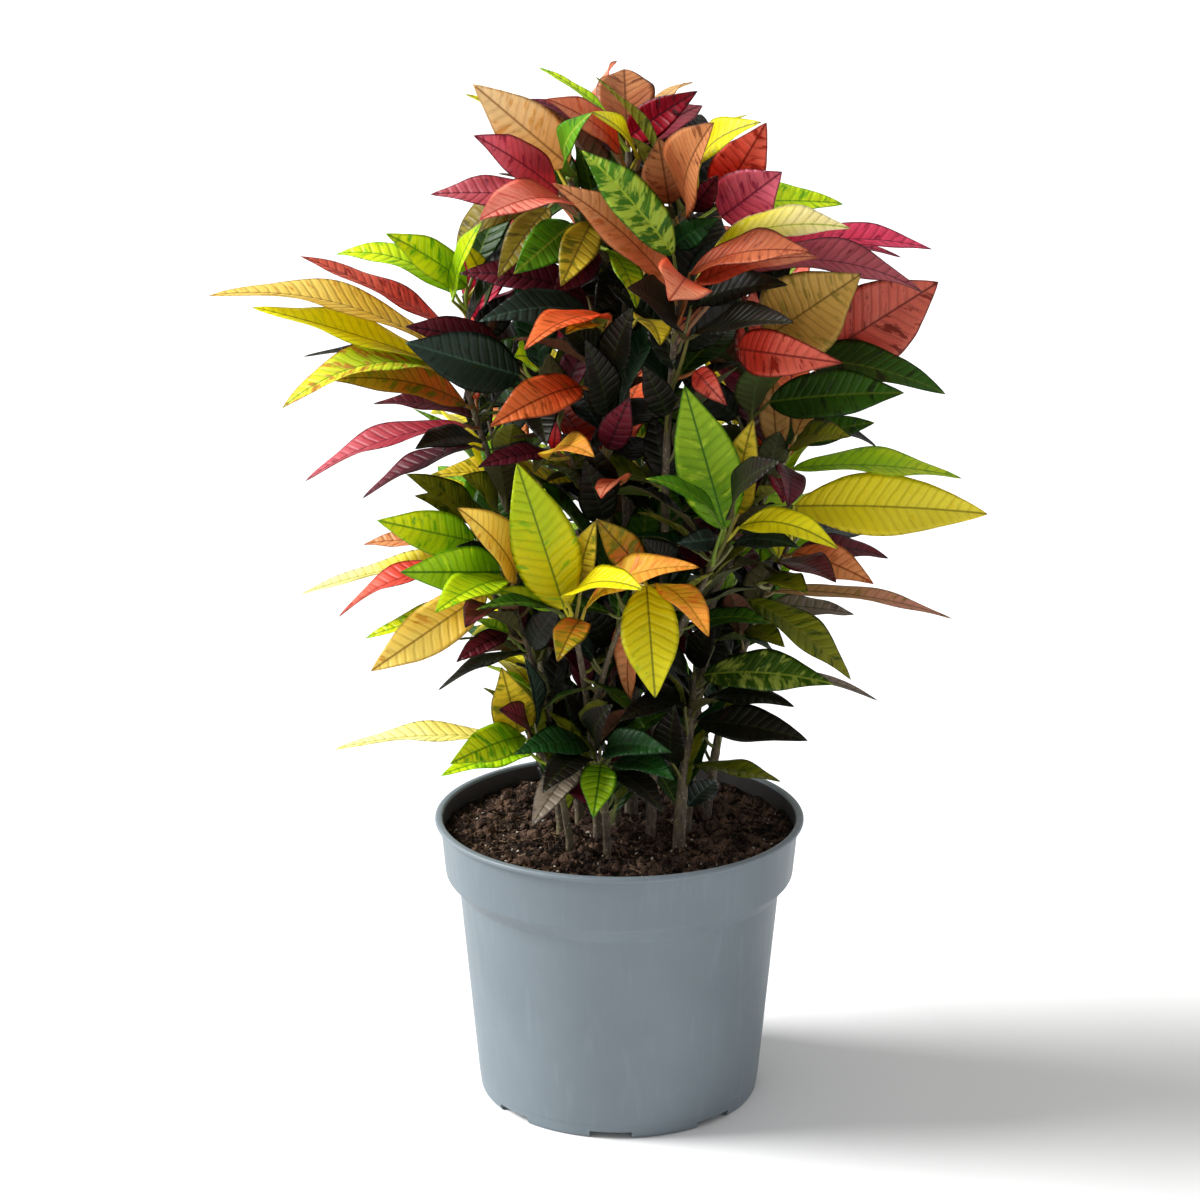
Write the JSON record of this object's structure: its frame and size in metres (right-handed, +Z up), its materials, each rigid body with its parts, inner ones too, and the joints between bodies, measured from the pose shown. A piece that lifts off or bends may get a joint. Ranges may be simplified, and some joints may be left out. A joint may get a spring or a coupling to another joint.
{
  "type": "potted croton",
  "caption": "Bushy croton house plant with colourful veined leaves on rooted stems, in soil in a round plastic nursery pot.",
  "frame": {"origin": "middle of the pot's underside, on the pot's axis, at the level it stands on", "axes": "+Z up, the pictured front towards -Y, +X to the viewer's right"},
  "size_m": [0.4809, 0.4087, 0.6638],
  "materials": {
    "pot_plastic": "matte moulded, blue grey",
    "peat": "loose damp peat with white perlite",
    "foliage": "leathery leaf with a satin gloss and coloured veins",
    "bark": "thin grey brown bark"
  },
  "bodies": {
    "root": {"pot": "pot_plastic", "soil": "peat", "leafy_stem_front": "foliage", "leafy_stem_centre_low": "foliage", "leafy_stem_base_front": "foliage", "leafy_stem_base_left": "foliage", "leafy_stem_left_low": "foliage", "leafy_stem_centre": "foliage", "leafy_stem_left_high": "foliage", "leafy_stem_right": "foliage", "leafy_stem_right_low": "foliage", "leafy_stem_base_right": "foliage", "leafy_stem_top": "foliage", "leafy_stem_back": "foliage", "leafy_stem_back_left": "foliage", "leafy_stem_back_right": "foliage"}
  },
  "joints": []
}
